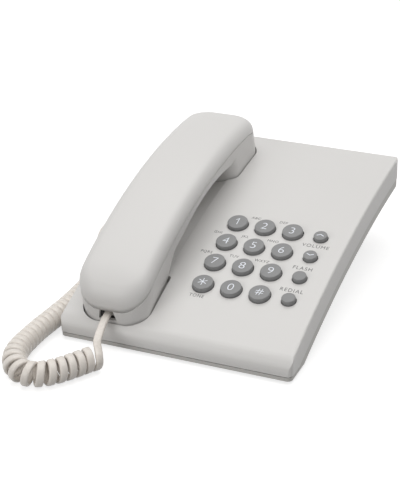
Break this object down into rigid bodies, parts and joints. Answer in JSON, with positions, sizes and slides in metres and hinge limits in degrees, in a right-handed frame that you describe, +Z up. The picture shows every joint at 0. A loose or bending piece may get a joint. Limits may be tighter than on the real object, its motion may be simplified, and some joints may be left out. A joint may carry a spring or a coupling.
{
  "type": "corded desk telephone",
  "caption": "Corded desk telephone: a bent wedge-shaped base with a push-button keypad, and an arched handset that lies in a cradle on its left, tied to it by a curly cord.",
  "frame": {"origin": "on the table, under the middle of the base", "axes": "+X to the right of someone using the telephone, +Y away from that person, from the base's low front edge to its high rear edge, +Z up"},
  "size_m": [0.168, 0.2682, 0.0831],
  "materials": {
    "housing": "satin, fine texture",
    "key_plastic": "satin",
    "grey_plastic": "satin",
    "black_plastic": "matte",
    "plug_plastic": "clear moulded",
    "cord_jacket": "soft vinyl",
    "foot_rubber": "matte",
    "silicone": "matte",
    "circuit_board": "lacquered",
    "screw_steel": "zinc plated",
    "weight_steel": "plain",
    "silver_can": "plain"
  },
  "bodies": {
    "base": {"top_cover": "housing", "bottom_cover": "housing", "rubber_feet": "foot_rubber", "case_screws": "screw_steel", "main_board": "circuit_board", "board_parts": "black_plastic", "key_mat": "silicone", "hook_switch": "circuit_board", "buzzer": "black_plastic", "line_jack": "black_plastic", "base_cord_jack": "black_plastic", "ringer_switch": "black_plastic", "dial_mode_switch": "black_plastic", "cord_coil": "cord_jacket", "cord_tail_base": "cord_jacket", "cord_plug_base": "plug_plastic"},
    "handset": {"handset_upper_shell": "housing", "handset_lower_shell": "housing", "earpiece": "black_plastic", "microphone": "silver_can", "handset_weight": "weight_steel", "handset_jack": "black_plastic", "handset_screws": "screw_steel", "cord_plug_handset": "plug_plastic", "cord_tail_handset": "cord_jacket"},
    "hook_plunger": {"hook_plunger": "housing"},
    "ringer_knob": {"ringer_knob": "grey_plastic"},
    "dial_mode_knob": {"dial_mode_knob": "grey_plastic"},
    "key_1": {"key_1": "key_plastic"},
    "key_2": {"key_2": "key_plastic"},
    "key_3": {"key_3": "key_plastic"},
    "key_4": {"key_4": "key_plastic"},
    "key_5": {"key_5": "key_plastic"},
    "key_6": {"key_6": "key_plastic"},
    "key_7": {"key_7": "key_plastic"},
    "key_8": {"key_8": "key_plastic"},
    "key_9": {"key_9": "key_plastic"},
    "key_star": {"key_star": "key_plastic"},
    "key_0": {"key_0": "key_plastic"},
    "key_hash": {"key_hash": "key_plastic"},
    "key_volume_up": {"key_volume_up": "key_plastic"},
    "key_volume_down": {"key_volume_down": "key_plastic"},
    "key_flash": {"key_flash": "key_plastic"},
    "key_redial": {"key_redial": "key_plastic"}
  },
  "joints": [
    {"name": "handset_lift", "type": "slide", "parent": "base", "child": "handset", "axis": [0, -0.2164, 0.9763], "range_m": [0, 0.08]},
    {"name": "hook_rise", "type": "slide", "parent": "base", "child": "hook_plunger", "axis": [0, -0.2164, 0.9763], "range_m": [0, 0.004]},
    {"name": "ringer_slide", "type": "slide", "parent": "base", "child": "ringer_knob", "axis": [1, 0, 0], "range_m": [0, 0.006]},
    {"name": "dial_mode_slide", "type": "slide", "parent": "base", "child": "dial_mode_knob", "axis": [1, 0, 0], "range_m": [0, 0.004]},
    {"name": "key_1_press", "type": "slide", "parent": "base", "child": "key_1", "axis": [0, 0.2532, -0.9674], "range_m": [0, 0.0018], "stiffness_N_per_m": 250, "springref_m": -0.0012},
    {"name": "key_2_press", "type": "slide", "parent": "base", "child": "key_2", "axis": [0, 0.2532, -0.9674], "range_m": [0, 0.0018], "stiffness_N_per_m": 250, "springref_m": -0.0012},
    {"name": "key_3_press", "type": "slide", "parent": "base", "child": "key_3", "axis": [0, 0.2532, -0.9674], "range_m": [0, 0.0018], "stiffness_N_per_m": 250, "springref_m": -0.0012},
    {"name": "key_4_press", "type": "slide", "parent": "base", "child": "key_4", "axis": [0, 0.2532, -0.9674], "range_m": [0, 0.0018], "stiffness_N_per_m": 250, "springref_m": -0.0012},
    {"name": "key_5_press", "type": "slide", "parent": "base", "child": "key_5", "axis": [0, 0.2532, -0.9674], "range_m": [0, 0.0018], "stiffness_N_per_m": 250, "springref_m": -0.0012},
    {"name": "key_6_press", "type": "slide", "parent": "base", "child": "key_6", "axis": [0, 0.2532, -0.9674], "range_m": [0, 0.0018], "stiffness_N_per_m": 250, "springref_m": -0.0012},
    {"name": "key_7_press", "type": "slide", "parent": "base", "child": "key_7", "axis": [0, 0.2532, -0.9674], "range_m": [0, 0.0018], "stiffness_N_per_m": 250, "springref_m": -0.0012},
    {"name": "key_8_press", "type": "slide", "parent": "base", "child": "key_8", "axis": [0, 0.2532, -0.9674], "range_m": [0, 0.0018], "stiffness_N_per_m": 250, "springref_m": -0.0012},
    {"name": "key_9_press", "type": "slide", "parent": "base", "child": "key_9", "axis": [0, 0.2532, -0.9674], "range_m": [0, 0.0018], "stiffness_N_per_m": 250, "springref_m": -0.0012},
    {"name": "key_star_press", "type": "slide", "parent": "base", "child": "key_star", "axis": [0, 0.2532, -0.9674], "range_m": [0, 0.0018], "stiffness_N_per_m": 250, "springref_m": -0.0012},
    {"name": "key_0_press", "type": "slide", "parent": "base", "child": "key_0", "axis": [0, 0.2532, -0.9674], "range_m": [0, 0.0018], "stiffness_N_per_m": 250, "springref_m": -0.0012},
    {"name": "key_hash_press", "type": "slide", "parent": "base", "child": "key_hash", "axis": [0, 0.2532, -0.9674], "range_m": [0, 0.0018], "stiffness_N_per_m": 250, "springref_m": -0.0012},
    {"name": "key_volume_up_press", "type": "slide", "parent": "base", "child": "key_volume_up", "axis": [0, 0.2532, -0.9674], "range_m": [0, 0.0018], "stiffness_N_per_m": 250, "springref_m": -0.0012},
    {"name": "key_volume_down_press", "type": "slide", "parent": "base", "child": "key_volume_down", "axis": [0, 0.2532, -0.9674], "range_m": [0, 0.0018], "stiffness_N_per_m": 250, "springref_m": -0.0012},
    {"name": "key_flash_press", "type": "slide", "parent": "base", "child": "key_flash", "axis": [0, 0.2532, -0.9674], "range_m": [0, 0.0018], "stiffness_N_per_m": 250, "springref_m": -0.0012},
    {"name": "key_redial_press", "type": "slide", "parent": "base", "child": "key_redial", "axis": [0, 0.2532, -0.9674], "range_m": [0, 0.0018], "stiffness_N_per_m": 250, "springref_m": -0.0012}
  ],
  "couplings": [
    {"joint": "hook_rise", "follows": "handset_lift", "ratio": 0.05}
  ]
}
